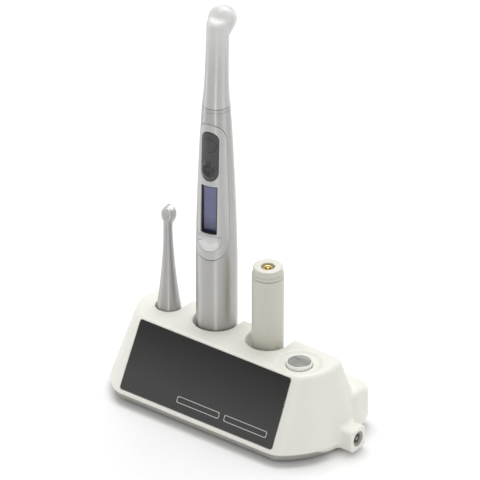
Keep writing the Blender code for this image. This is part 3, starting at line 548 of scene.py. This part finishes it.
def housing_field(x, y, z):
    form = moulding_field(x, y, z)
    shape = round_max(form, RIM_Z - z, 0.5)
    for at, radius in WELLS:
        shape = round_max(shape, -well_field(x, y, z, at, radius, WELL_FLOOR_Z, NOTCH_Z), 1.3)
    tip_well = well_field(x, y, z, TIP_WELL, TIP_WELL_R, TIP_WELL_FLOOR_Z, TIP_WELL_FLOOR_Z)
    shape = round_max(shape, -tip_well, 0.8)
    holes = [(at + Vector((0, dy, 0)), STUD_HOLE_R, 20.0) for at, _ in WELLS for dy in (0, STUD_PITCH)]
    for at, radius, low in holes + [(TIP_WELL, 5.3, 31.0)]:
        shape = np.maximum(shape, -np.maximum(np.hypot(x - at.x, y - at.y) - radius, low - z))

    from_meter = np.hypot(x - METER.x, y - METER.y)
    shape = round_max(shape, -np.maximum(from_meter - METER_HOLE_R, 40 - z), 0.35)
    slot = np.maximum(from_meter - METER_SLOT_R, np.maximum(z - METER_SLOT_Z[1], METER_SLOT_Z[0] - z))
    shape = np.maximum(shape, -slot)

    back, rise = y - PANEL_FOOT_Y, z - PANEL_Z[0]
    out = rise * math.sin(FRONT_SLOPE) - back * math.cos(FRONT_SLOPE)
    up = back * math.sin(FRONT_SLOPE) + rise * math.cos(FRONT_SLOPE)
    half = mix(PANEL_HALF, up / PANEL_HEIGHT) + 0.3
    recess = np.maximum(box_field(x, up - PANEL_HEIGHT / 2, half, PANEL_HEIGHT / 2 + 0.3, 1.6), -(out + 1.1))
    shape = round_max(shape, -recess, 0.4)

    inlet = np.maximum(np.hypot(y - JACK.y, z - JACK.z) - INLET_R, 70 - x)
    shape = round_max(shape, -inlet, 0.4)
    hollow = np.maximum(form + WALL, z - HOLLOW_TOP_Z)
    for number in range(1, 5):
        at = middle(f"cover_screw_{number}") - STAND_AT
        reach = np.hypot(x - at.x, y - at.y)
        hollow = np.maximum(hollow, -np.maximum(reach - SCREW_POST_R, 4.3 - z))
        hollow = np.minimum(hollow, np.maximum(reach - SCREW_HOLE_R, z - 14))
    return np.maximum(shape, -hollow)


def make_housing():
    low = (-86.5, -50.5, RIM_Z - 1.5)
    high = (JACK_FACE_X + 1.5, 31.0, DECK_Z + 1.5)
    made = field_piece("housing", housing_field, low, high, 0.62, 0.25, STAND)
    piece(made, "stand", "shell_plastic", "base_housing")


def panel_frame():
    """The frame of the panel's lower edge: X along it, Y up the slope, Z out of it."""
    foot = Matrix.Translation((0, PANEL_FOOT_Y, PANEL_Z[0]))
    return STAND @ foot @ Matrix.Rotation(math.pi / 2 - FRONT_SLOPE, 4, "X")


def round_box(left, right, low, high, r, steps=8):
    """A rectangle's outline with round corners, from its lower right corner."""
    return (corner_arc((right - r, low + r), r, -90, steps) + corner_arc((right - r, high - r), r, 0, steps)
            + corner_arc((left + r, high - r), r, 90, steps) + corner_arc((left + r, low + r), r, 180, steps))


def make_panel():
    r = 1.3
    low, high = PANEL_HALF
    outline = (corner_arc((low - r, r), r, -90) + corner_arc((high - r, PANEL_HEIGHT - r), r, 0)
               + corner_arc((r - high, PANEL_HEIGHT - r), r, 90) + corner_arc((r - low, r), r, 180))
    piece(slab("panel", outline, -0.8, 0.0, 0.12, panel_frame()), "stand", "panel", "front_panel")
    for number, start in enumerate((-16.3, 20.5), 1):
        make_printed_box(number, start)


def make_printed_box(number, start):
    """A thin printed outline on the panel."""
    width, low, high, line = 33.0, 5.2, 9.4, 0.42
    outer = round_box(start, start + width, low, high, 1.1, 5)
    centre = Vector((start + width / 2, (low + high) / 2))
    count = len(outer)
    points, faces = [], []
    for shrink, z in ((0, -0.02), (0, 0.03), (line, 0.03), (line, -0.02)):
        for x, y in outer:
            away = Vector((x, y)) - centre
            points.append((x - math.copysign(shrink, away.x), y - math.copysign(shrink, away.y), z))
    for row in range(4):
        after = (row + 1) % 4
        for i in range(count):
            j = (i + 1) % count
            faces.append([row * count + i, row * count + j, after * count + j, after * count + i])
    made = mesh_piece(f"panel_outline_{number}", points, faces, panel_frame())
    made.data.shade_flat()
    piece(made, "stand", "white_plastic", look="print_white")


def make_underside():
    foot = [(0, 1.7), (5.0, 1.7), (5.0, 0.5), (4.4, 0.0), (3.4, 0.0), (3.1, 0.25), (2.7, 0.25), (2.4, 0.0),
            (0, 0.0)]
    for number in range(1, 5):
        at = middle(f"rubber_foot_{number}")
        place = Matrix.Translation((at.x, at.y, 0))
        piece(turned(f"foot_{number}", foot, place, 0.2), "stand", "dark_rubber", f"rubber_foot_{number}")
        at = middle(f"cover_screw_{number}")
        make_screw(number, Matrix.Translation((at.x, at.y, 0)))
    cover = frame["nodes"]["bottom_cover"]
    bevel = cover.modifiers.new("bevel", "BEVEL")
    bevel.width, bevel.segments, bevel.limit_method = 0.25 * MM, 2, "ANGLE"


def make_screw(number, place):
    """A pan-head screw with a cross recess."""
    pitch = 0.85
    shaft = [(0, 12.0), (0.9, 11.2), (1.1, 10.4)]
    for turn in range(8):
        shaft += [(1.1, 10.2 - turn * pitch), (0.85, 9.8 - turn * pitch)]
    profile = shaft + [(1.1, 2.9), (2.7, 2.9), (2.7, 2.5), (2.1, 2.05), (0, 2.0)]
    made = turned(f"screw_{number}", profile, place, 0.12, sides=40)
    corners = ((-1.5, -0.25), (1.5, -0.25), (1.5, 0.25), (-1.5, 0.25))
    blade = [(x, y, z) for z in (1.0, 2.6) for x, y in corners]
    sides = [(3, 2, 1, 0), (4, 5, 6, 7), (0, 1, 5, 4), (1, 2, 6, 5), (2, 3, 7, 6), (3, 0, 4, 7)]
    for angle in (0, math.pi / 2):
        cutter = mesh_piece("cutter", blade, sides, place @ Matrix.Rotation(angle, 4, "Z"))
        recess = made.modifiers.new("recess", "BOOLEAN")
        recess.operation, recess.object, recess.solver = "DIFFERENCE", cutter, "EXACT"
        bpy.context.view_layer.update()
        cut = bpy.data.meshes.new_from_object(made.evaluated_get(bpy.context.evaluated_depsgraph_get()))
        made.modifiers.clear()
        made.data = cut
        bpy.data.objects.remove(cutter)
    made.data.set_sharp_from_angle(angle=math.radians(35))
    piece(made, "stand", "steel", f"cover_screw_{number}")


def make_meter():
    place = STAND @ Matrix.Translation((METER.x, METER.y, 0))
    lip = top("meter_ring")
    ring = [(7.3, lip - 0.4), (7.5, lip), (7.95, lip), (8.15, lip - 0.4), (8.15, 50.5), (10.2, 50.5),
            (10.2, 49.1), (5.6, 49.1), (5.6, 52.3), (7.25, 52.3)]
    piece(turned("meter_rim", ring, place, 0.2, ring=True), "stand", "white_plastic", "meter_ring")
    window = [(0, 53.45), (2.5, 53.5), (4.6, 53.6), (6.2, 53.6), (7.2, 53.3), (7.2, 52.4), (0, 52.4)]
    piece(turned("meter_glass", window, place, 0.5), "stand", "grey_glass", "meter_window")


def make_inlet():
    place = aimed(STAND, (JACK_FACE_X, JACK.y, JACK.z), (1, 0, 0))
    cup = [(3.1, -1.5), (3.5, -0.8), (4.6, -0.8), (4.6, -10.8), (1.4, -10.8), (1.4, -8.8), (3.1, -8.8)]
    made = turned("inlet_cup", cup, place, 0.2, ring=True)
    piece(made, "stand", "dark_rubber", "jack_shell", look="inlet_plastic")
    pin = [(0, -1.6), (0.5, -1.6), (0.7, -1.2), (1.25, -1.3), (1.3, -2.0), (1.1, -4.0), (1.1, -12.8),
           (0, -12.8)]
    piece(turned("inlet_pin", pin, place, 0.12), "stand", "steel", "jack_pin", look="inlet_plastic")


def make_charger():
    board_top = top("charger_board")
    floor = WELL_FLOOR_Z
    stud = [(0, floor + 0.9), (0.9, floor + 0.8), (1.7, floor + 0.2), (1.9, floor - 0.5), (1.9, floor - 2.6),
            (3.0, floor - 2.6), (3.0, board_top + 0.3), (0, board_top + 0.3)]
    for owner in ("handpiece", "battery"):
        for number in (1, 2):
            node = f"{owner}_charge_stud_{number}"
            at = middle(node)
            made = turned(f"{owner}_stud_{number}", stud, Matrix.Translation((at.x, at.y, 0)), 0.3, sides=40)
            piece(made, "stand", "gold", node)
    at = middle("battery_locating_ring")
    low, high = bottom("battery_locating_ring"), top("battery_locating_ring")
    ring = [(10.4, low), (10.4, high - 1.2), (11.2, high), (13.5, high), (13.5, low)]
    made = turned("locating_ring", ring, Matrix.Translation((at.x, at.y, 0)), 0.3, ring=True)
    piece(made, "stand", "shell_plastic", "battery_locating_ring")


# ---------------------------------------------------------------- handpiece

def barrel_radius(z):
    above = np.maximum(z - TAPER_FROM, 0)
    return BARREL_R - TAPER[0] * above - TAPER[1] * above**2


def patch_field(x, y, z, low, high, half, low_round, high_round, grow=0.0):
    """Distance, over the barrel's surface, from the outline of a plate on its front."""
    radius = barrel_radius(z)
    across = np.abs(np.arctan2(x, -y)) * radius
    if half is None:
        half = math.radians(67) * radius
    centre, tall = (low + high) / 2, (high - low) / 2
    r = np.where(z < centre, low_round, high_round)
    return box_field(across, z - centre, half, tall, r) - grow


def facet(x, y, z):
    """How far the fascia's middle strip lies below the barrel's round."""
    across = np.arctan2(x, -y) * barrel_radius(z)
    hollow = np.maximum(0, 1 - (across / FACET_HALF) ** 2)
    return FACET_DROP * hollow * (1 - smooth_step(152, 168, z))


def barrel_field(x, y, z):
    rho = np.hypot(x, y)
    radius = barrel_radius(z)
    shape = round_max(rho - radius, z - BARREL_Z[1], 0.06)
    shape = round_max(shape, BARREL_Z[0] - z, 0.35)
    shape = round_max(shape, radius - 2.2 - rho, 0.3)
    return round_max(shape, -patch_field(x, y, z, **FASCIA, grow=0.12), 0.3)


def fascia_field(x, y, z):
    rho = np.hypot(x, y)
    radius = barrel_radius(z)
    shape = round_max(rho - (radius + 0.12 - facet(x, y, z)), patch_field(x, y, z, **FASCIA), 0.4)
    shape = np.maximum(shape, radius - 1.9 - rho)
    shape = round_max(shape, -patch_field(x, y, z, **DISPLAY, grow=0.25), 0.3)
    shape = round_max(shape, -patch_field(x, y, z, **PAD, grow=0.2), 0.3)
    return round_max(shape, -patch_field(x, y, z, **THUMB, grow=0.05), 0.15)


def thumb_field(x, y, z):
    rho = np.hypot(x, y)
    edge = patch_field(x, y, z, **THUMB)
    rise = np.clip((z - THUMB["low"]) / (THUMB["high"] - THUMB["low"]), 0, 1)
    scoop = 2.2 * smooth_step(0.1, 1.6, -edge) * np.sin(math.pi / 2 * np.minimum(rise / 0.85, 1))
    surface = barrel_radius(z) + 0.05 - facet(x, y, z) - scoop
    shape = round_max(rho - surface, edge, 0.25)
    return np.maximum(shape, barrel_radius(z) - 3.4 - rho)


def from_button(x, z, button):
    return np.hypot(x, z - button[0])


def pad_surface(x, y, z):
    """The pad's outer radius: it swells a little round both buttons."""
    swell = 0.9 * (1 - smooth_step(3.9, 6.3, from_button(x, z, MODE)))
    swell = swell + 0.45 * (1 - smooth_step(1.0, 6.5, np.hypot(x, (z - ACTIVATION[0]) * 0.7)))
    return barrel_radius(z) + 0.28 - facet(x, y, z) + swell


def pad_field(x, y, z):
    rho = np.hypot(x, y)
    shape = round_max(rho - pad_surface(x, y, z), patch_field(x, y, z, **PAD), 0.45)
    shape = np.maximum(shape, barrel_radius(z) - 1.6 - rho)
    for button in (ACTIVATION, MODE):
        hole = np.maximum(from_button(x, z, button) - (button[1] + BUTTON_GAP), y)
        shape = round_max(shape, -hole, 0.05)
    return shape


def activation_field(x, y, z):
    reach = from_button(x, z, ACTIVATION)
    shape = round_max(np.hypot(x, y) - pad_surface(x, y, z), reach - ACTIVATION[1], 0.05)
    return np.maximum(shape, y + 8.0)


def mode_field(x, y, z):
    reach = from_button(x, z, MODE)
    wave = -1.3 * (1 - smooth_step(2.4, 3.9, reach)) + 0.4 * (1 - smooth_step(0.5, 1.5, reach))
    groove = -0.3 * np.exp(-(((reach - 2.2) / 0.3) ** 2)) - 0.3 * np.exp(-(((reach - 0.9) / 0.3) ** 2))
    shape = round_max(np.hypot(x, y) - (pad_surface(x, y, z) + wave + groove), reach - MODE[1], 0.25)
    return np.maximum(shape, y + 8.0)


def make_key(name, field, button, cell, keep, body):
    z, r = button
    made = field_piece(name, field, (-r - 1, -13.5, z - r - 1), (r + 1, -7, z + r + 1), cell, keep, HANDPIECE)
    piece(made, body, "dark_rubber", body)


def make_controls():
    pad = field_piece("control_pad", pad_field, (-7.5, -13, 129), (7.5, -6, 165), 0.25, 0.45, HANDPIECE)
    piece(pad, "handpiece", "dark_rubber", "button_pad")
    make_key("activation_key", activation_field, ACTIVATION, 0.2, 0.4, "activation_button")
    make_key("mode_key", mode_field, MODE, 0.16, 0.5, "mode_button")


def make_display():
    """A black tray in the fascia's opening, with the flat screen on its floor."""
    low, high, half = DISPLAY["low"], DISPLAY["high"], DISPLAY["half"]
    floor = 8.6
    wall = 0.35
    border = 0.9  # of the screen's black edge, on the left

    def tray(x, y, z):
        edge = patch_field(x, y, z, **DISPLAY, grow=0.12)
        below_fascia = np.hypot(x, y) - (barrel_radius(z) - 0.30 - facet(x, y, z))
        shape = np.maximum(np.maximum(edge, below_fascia), y + floor - 0.4)
        cavity = np.maximum(edge + wall, y + floor)
        return round_max(shape, -cavity, 0.1)

    ends = (-half - 1, -13.5, low - 1), (half + 1, -7.5, high + 1)
    made = field_piece("display_tray", tray, *ends, 0.22, 0.4, HANDPIECE)
    piece(made, "handpiece", "display_glass", "display_window", look="display_wall")
    inner = half - 0.62
    outline = round_box(border - inner, inner, 0, high - low - 0.7, 0.4, 4)
    place = HANDPIECE @ Matrix.Translation((0, -floor, low + 0.35)) @ Matrix.Rotation(math.pi / 2, 4, "X")
    piece(slab("display_screen", outline, 0.02, 0.3, 0.08, place), "handpiece", "display_glass")


def make_handpiece():
    ends = (-14, -14, BARREL_Z[0] - 1), (14, 14, BARREL_Z[1] + 1)
    barrel = field_piece("barrel", barrel_field, *ends, 0.42, 0.22, HANDPIECE)
    piece(barrel, "handpiece", "silver_paint", "handpiece_barrel")
    made = field_piece("front_fascia", fascia_field, (-13.5, -14, 74), (13.5, -2, 170), 0.3, 0.3, HANDPIECE)
    piece(made, "handpiece", "fascia_paint", "fascia")
    thumb = field_piece("thumb_scoop", thumb_field, (-9.5, -14, 80), (9.5, -7, 93), 0.2, 0.5, HANDPIECE)
    piece(thumb, "handpiece", "white_plastic", "thumb_rest", look="scoop_paint")
    make_controls()
    make_display()

    low, high = TRIM_Z
    low_r, high_r = (float(barrel_radius(z)) for z in TRIM_Z)
    trim = [(high_r, high), (low_r, low), (6.9, low), (6.9, high)]
    piece(turned("trim", trim, HANDPIECE, 0.05, ring=True), "handpiece", "silver_paint", "trim_ring")
    socket = [(5.3, 164.0), (6.5, 164.0), (6.5, 178.7), (6.2, 178.9), (5.6, 178.9), (5.3, 178.4)]
    piece(turned("socket", socket, HANDPIECE, 0.15, ring=True), "handpiece", "dark_rubber", "tip_socket")
    cap = [(BARREL_R - 0.02, 3.0), (BARREL_R, 1.4), (BARREL_R - 0.35, 0.5), (BARREL_R - 1.2, 0), (10.2, 0),
           (10.2, 1.3), (7.2, 1.3), (7.0, 0.9), (5.0, 0.9), (4.8, 1.3), (3.6, 1.3), (3.6, 0), (3.2, 0),
           (3.2, 3.0)]
    piece(turned("lower_cap", cap, HANDPIECE, 0.25, ring=True), "handpiece", "silver_paint", "end_cap")
    contact = [(0, 4.8), (2.8, 4.8), (2.8, 1.25), (1.9, 1.2), (1.7, 1.45), (0, 1.45)]
    piece(turned("lower_contact", contact, HANDPIECE, 0.15), "handpiece", "gold", "end_contact")


# ---------------------------------------------------------------- light tips

def make_tip(prefix, place, stem_radius, base_z, neck_z, head, look):
    """A light tip: a stem that leans back a little, with a round head across its top.

    head holds its drum's centre height, radius, front, back and downward tilt, its bore, how far the stem
    leans, the slope and the height of the stem's own end, and how widely both join in front and behind.
    """
    tilt = math.radians(head["tilt"])
    ahead = (0, math.cos(tilt), -math.sin(tilt))
    r, front, back, lean = head["radius"], head["front"], head["back"], head["lean"]
    scale = r / 7.6  # small sizes below are for a head of 7.6 mm

    def tip_field(x, y, z):
        dy, dz = y - lean, z - head["z"]
        along = dy * ahead[1] + dz * ahead[2]
        around = np.hypot(x, dz * ahead[1] - dy * ahead[2])
        drum = round_max(around - r, front - along, head["dome"])
        drum = round_max(drum, along - back, 0.7 * scale)
        from_axis = y - lean * np.clip((z - base_z) / (head["z"] - base_z), 0, 1.3) ** 1.2
        stem = np.hypot(x, from_axis) - stem_radius(z)
        end = (dz - head["end"]) * 0.85 - from_axis * head["end_slope"]
        stem = round_max(stem, end, head["end_round"] * r)
        join = scale * (head["join"][0] + head["join"][1] * smooth_step(-1.0, 6.0, dy / scale))
        shape = round_min(stem, drum, join)
        shape = round_max(shape, base_z - z, 0.12)
        bore = np.maximum(around - head["bore_r"], back - head["bore"] - along)
        shape = round_max(shape, -bore, 0.25)
        socket = np.maximum(np.hypot(x, y) - 5.3, z - (base_z + 6.3))
        shape = np.maximum(shape, -socket)
        core = np.maximum(np.hypot(x, y) - (head["core_r"] + 0.3), z - (neck_z - 3.7))
        return np.maximum(shape, -core)

    reach = float(stem_radius(np.array(base_z))) + 1.5
    side = max(reach, r + 1.5)
    cell = 0.42 if prefix == "fitted_tip" else 0.3
    ends = (-side, -side, base_z - 1), (side, max(back + lean + 1.5, side), head["z"] + r + 2.5)
    made = field_piece(f"{prefix}_shell", tip_field, *ends, cell, 0.4, place)
    piece(made, prefix, "tip_plastic", f"{prefix}_stem", look=look)

    plug_top, plug_end = base_z + 6.0, base_z - 12.0
    steps = [(0, 0), (2.6, 0), (3.2, 0.6), (3.2, 3), (5.0, 4), (5.0, 7.5), (4.6, 7.8), (4.6, 8.8), (5.0, 9.1)]
    plug = [(radius, plug_end + z) for radius, z in steps] + [(5.0, plug_top), (0, plug_top)]
    piece(turned(f"{prefix}_spigot", plug, place, 0.2), f"{prefix}_plug", "steel", f"{prefix}_plug")
    axis = aimed(place, (0, lean, head["z"]), ahead)
    floor = back - head["bore"]
    ring_r = head["bore_r"] - 0.2
    ring = [(ring_r - 0.8 * scale, back - 0.5), (ring_r - 0.4 * scale, back - 0.1), (ring_r, back - 0.2),
            (ring_r, floor + 1.4), (ring_r - 0.8 * scale, floor + 1.4)]
    made = turned(f"{prefix}_bezel", ring, axis, 0.15, ring=True)
    piece(made, prefix, "white_plastic", f"{prefix}_lens_ring")
    glass_r = ring_r - 0.8 * scale - 0.1
    glass = [(0, back - 0.05)]
    for angle in range(10, 90, 12):
        share = math.radians(angle)
        glass.append((glass_r * math.sin(share), back - 1.4 * scale * (1 - math.cos(share)) - 0.05))
    glass += [(glass_r, back - 1.6 * scale), (glass_r, floor + 1.4), (0, floor + 1.4)]
    piece(turned(f"{prefix}_window", glass, axis, 0.12), prefix, "lens_glass", f"{prefix}_lens")


def fitted_radius(z):
    return 7.0 + 1.8 * np.exp(-(z - SEAM_Z) / 13.0)


def spare_radius(z):
    return np.minimum(8.1, 2.85 + 4.75 * np.maximum(0.0, 1 - z / 58.0) ** 1.8)


def make_tips():
    fitted = dict(z=235.3, radius=7.7, front=-0.3, back=10.9, tilt=17.5, lean=2.8, dome=6.0, bore_r=6.2,
                  bore=5.0, core_r=3.2, end=1.0, end_slope=0.25, end_round=0.4, join=(2.6, 3.4))
    make_tip("fitted_tip", HANDPIECE, fitted_radius, SEAM_Z, 229.5, fitted, "tip_plastic")
    spare = dict(z=66.0, radius=4.25, front=-2.3, back=2.9, tilt=6.6, lean=-0.4, dome=1.6, bore_r=3.6,
                 bore=2.6, core_r=1.4, end=1.2, end_slope=0.75, end_round=0.42, join=(4.5, 3.5))
    make_tip("spare_tip", SPARE_TIP, spare_radius, 43.8 - DECK_Z, 61.5, spare, "spare_plastic")


# ---------------------------------------------------------------- battery

def make_battery():
    length, radius, cap_z = 78.0, 10.0, 71.6
    sleeve = [(radius, cap_z - 0.2), (radius, 1.0), (radius - 1.0, 0.0), (8.9, 0.0), (8.9, 1.3), (4.3, 1.3),
              (4.3, 0.0), (3.2, 0.0), (3.2, 2.4), (9.4, 2.4), (9.4, cap_z - 0.2)]
    made = turned("battery_tube", sleeve, BATTERY, 0.2, ring=True)
    piece(made, "spare_battery", "battery_plastic", "battery_sleeve")

    def collar(x, y, z):
        """The cap: a round neck above a shoulder, with a recess in its top and a hole for the stud."""
        rho = np.hypot(x, y)
        neck = round_max(rho - 9.15, z - (length - 0.05), 0.5)
        skirt = round_max(rho - radius, z - (length - 4.3), 0.6)
        shape = round_min(neck, skirt, 0.5)
        shape = round_max(shape, cap_z + 0.1 - z, 0.2)
        recess = np.maximum(rho - 4.3, length - 2.2 - z)
        return np.maximum(round_max(shape, -recess, 0.35), 1.75 - rho)

    ends = (-11, -11, cap_z - 1), (11, 11, length + 1)
    made = field_piece("battery_collar", collar, *ends, 0.32, 0.4, BATTERY)
    piece(made, "spare_battery", "battery_plastic", "battery_cap")
    disc = [(4.6, -0.02), (8.5, -0.02), (8.75, -0.3), (8.75, -0.6), (4.6, -0.6)]
    made = turned("battery_top", [(r, length + z) for r, z in disc], BATTERY, 0.1, ring=True)
    piece(made, "spare_battery", "battery_plastic", look="battery_top")
    recess_z = length - 2.2
    ring = [(1.8, recess_z + 0.3), (3.95, recess_z + 0.3), (3.95, recess_z + 0.9), (3.3, recess_z + 1.0),
            (2.6, recess_z + 0.85), (1.8, recess_z + 0.9)]
    made = turned("battery_disc", ring, BATTERY, 0.12, ring=True)
    piece(made, "spare_battery", "gold", "battery_contact_disc")
    stud = [(0, recess_z + 1.75), (1.0, recess_z + 1.6), (1.3, recess_z + 1.1), (1.3, cap_z - 1.0),
            (0, cap_z - 1.0)]
    piece(turned("battery_stud", stud, BATTERY, 0.2), "spare_battery", "gold", "battery_contact_stud")
    foot = [(0, 2.4), (2.8, 2.4), (2.8, 1.2), (0, 1.2)]
    piece(turned("battery_foot", foot, BATTERY, 0.15), "spare_battery", "gold", "battery_foot_contact")
    cell = [(0, 67.6), (3.0, 67.6), (3.0, 67.0), (8.6, 67.0), (9.1, 66.5), (9.1, 65.2), (8.95, 64.9),
            (9.1, 64.6), (9.1, 2.9), (0, 2.9)]
    piece(turned("battery_core", cell, BATTERY, 0.2), "spare_battery", "cell_wrap", "battery_cell")


# ---------------------------------------------------------------- inner CAD nodes, stage

def dress_cad_nodes():
    """Materials for the CAD nodes that are shown as they are."""
    slots = {s["node"]: s["material_slot"] for s in frame["record"]["subparts"]}
    for name, node in frame["nodes"].items():
        if node.hide_render:
            continue
        node.data.materials.clear()
        node.data.materials.append(LOOKS[slots[name]])
        if name.endswith("board") or name in ("meter_sensor", "display_module"):
            bevel = node.modifiers.new("bevel", "BEVEL")
            bevel.width, bevel.segments = 0.2 * MM, 2


def area_light(name, at, towards, size, power):
    light = bpy.data.lights.new(name, "AREA")
    light.shape = "RECTANGLE"
    light.size, light.size_y = size
    light.energy = power
    made = bpy.data.objects.new(name, light)
    made.location = at
    made.rotation_euler = (Vector(towards) - Vector(at)).to_track_quat("-Z", "Y").to_euler()
    bpy.context.scene.collection.objects.link(made)
    return made


def make_stage():
    side = 8.0
    corners = [(-side, -side, 0), (side, -side, 0), (side, side, 0), (-side, side, 0)]
    floor = bpy.data.meshes.new("floor")
    floor.from_pydata(corners, [], [(0, 1, 2, 3)])
    made = bpy.data.objects.new("floor", floor)
    bpy.context.scene.collection.objects.link(made)
    floor.materials.append(Look("floor", (0.93, 0.93, 0.93), 0.6).mottled(3, 0.01).uneven(40, 0.04).made)

    world = bpy.data.worlds.new("world")
    bpy.context.scene.world = world
    world.use_nodes = True
    backdrop = world.node_tree.nodes["Background"]
    backdrop.inputs["Color"].default_value = (1, 1, 1, 1)
    backdrop.inputs["Strength"].default_value = 0.5
    overhead = area_light("overhead", (-0.3, 0.35, 1.4), (0, 0, 0.1), (1.2, 1.0), 15.0)
    strips = (("front", 0.72, -1.2, 0.18, 2.4), ("left", -1.25, -0.6, 0.3, 2.4),
              ("rear", 0.1, 1.3, 0.25, 2.0), ("right", 1.3, 0.2, 0.7, 2.0))
    for name, x, y, width, power in strips:
        area_light(name, (x, y, 0.5), (0, 0, 0.4), (width, 0.9), power)


def make_camera():
    azimuth, elevation, distance = math.radians(37.3), math.radians(30.0), 3.0
    aim = Vector((-0.67, 0, 116.7))  # in the stand's frame
    level = math.cos(elevation)
    back = Vector((math.sin(azimuth) * level, -math.cos(azimuth) * level, math.sin(elevation)))
    lens = bpy.data.cameras.new("camera")
    lens.lens, lens.sensor_width = 364.5, 36.0
    lens.clip_end = 50.0
    made = bpy.data.objects.new("camera", lens)
    made.location = (STAND_AT + aim) * MM + back * distance
    made.rotation_euler = back.to_track_quat("Z", "Y").to_euler()
    bpy.context.scene.collection.objects.link(made)
    bpy.context.scene.camera = made


make_housing()
make_panel()
make_underside()
make_meter()
make_inlet()
make_charger()
make_handpiece()
make_tips()
make_battery()
dress_cad_nodes()
make_stage()
make_camera()
bpy.context.scene.view_settings.view_transform = "Standard"
